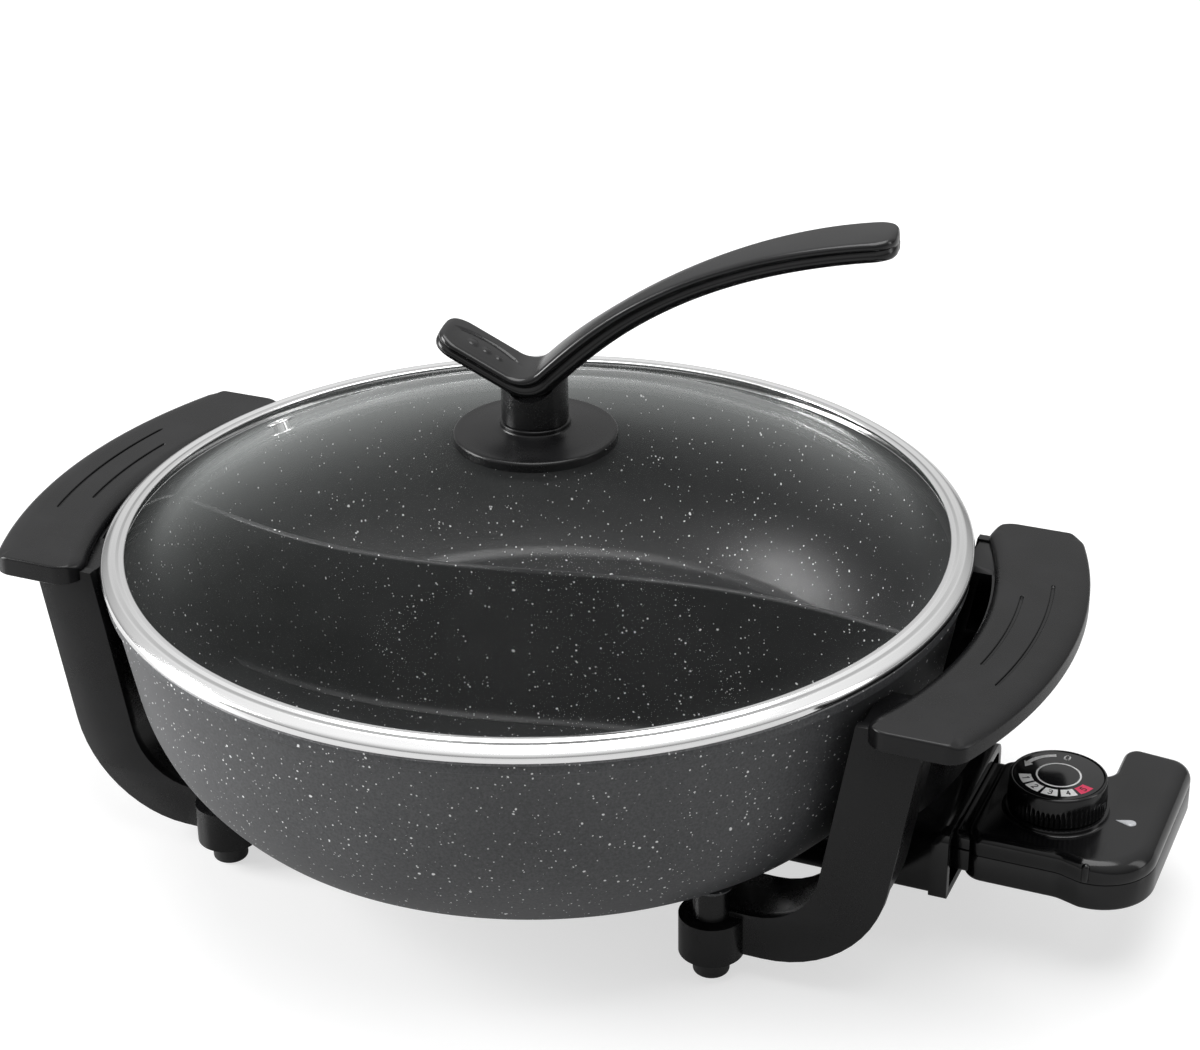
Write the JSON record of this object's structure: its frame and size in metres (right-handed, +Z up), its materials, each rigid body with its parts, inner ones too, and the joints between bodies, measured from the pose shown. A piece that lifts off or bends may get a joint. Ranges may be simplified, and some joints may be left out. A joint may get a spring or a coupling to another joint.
{
  "type": "electric hot pot with lid",
  "caption": "Electric hot pot: a round pan parted by an S-shaped wall, on bracket legs with curved grips, a lift-off glass lid and a plug-in thermostat with a dial.",
  "frame": {"origin": "on the pan's axis at the height of the table the feet stand on", "axes": "+X from the pan's axis towards the thermostat, +Z up, so the camera of the picture stands at -Y and +X"},
  "size_m": [0.4705, 0.342, 0.2623],
  "materials": {
    "pan_coating": "matt grey speckled coating on cast aluminium",
    "pan_inside": "near-black speckled coating on aluminium",
    "steel": "plain steel",
    "polished_steel": "polished stainless steel",
    "ceramic": "unglazed white ceramic",
    "gloss_black": "glossy black phenolic",
    "bakelite": "satin black phenolic",
    "rubber": "matt black rubber",
    "brass": "bare brass",
    "lamp_red": "small neon lamp",
    "lens": "milky clear plastic",
    "dial_print": "glossy black disc with printed marks",
    "glass": "clear tempered glass",
    "seal": "translucent silicone"
  },
  "bodies": {
    "pot": {"pan_body": "pan_coating", "divider_wall": "pan_inside", "heater_tube": "steel", "terminal_pins": "steel", "ceramic_collars": "ceramic", "probe_sleeve": "steel", "socket_guard": "gloss_black", "guard_screws": "steel", "right_bracket": "bakelite", "left_bracket": "bakelite", "right_grip": "bakelite", "left_grip": "bakelite", "grip_screws": "steel", "leg_screws": "steel", "foot_front_right": "rubber", "foot_front_left": "rubber", "foot_rear_right": "rubber", "foot_rear_left": "rubber"},
    "thermostat": {"case_top": "gloss_black", "case_bottom": "gloss_black", "contact_sleeves": "brass", "probe_rod": "steel", "thermostat_frame": "steel", "contact_blades": "brass", "pilot_lamp": "lamp_red", "pilot_lens": "lens", "case_screws": "steel", "cord_gland": "rubber"},
    "dial": {"dial_knob": "gloss_black", "dial_face": "dial_print", "dial_shaft": "steel"},
    "lid": {"lid_glass": "glass", "lid_ring": "polished_steel", "vent_eyelet": "polished_steel", "knob_flange": "bakelite", "knob_post": "bakelite", "lid_handle": "bakelite", "lid_washer": "seal", "lid_screw": "steel"}
  },
  "joints": [
    {"name": "lid_lift", "type": "slide", "parent": "pot", "child": "lid", "axis": [0, 0, 1], "range_m": [0, 0.085]},
    {"name": "thermostat_pull", "type": "slide", "parent": "pot", "child": "thermostat", "axis": [1, 0, 0], "range_m": [0, 0.08]},
    {"name": "dial_turn", "type": "hinge", "parent": "thermostat", "child": "dial", "pos_m": [0.2135, 0, 0.06], "axis": [0, 0, -1], "range_deg": [0, 240]}
  ]
}
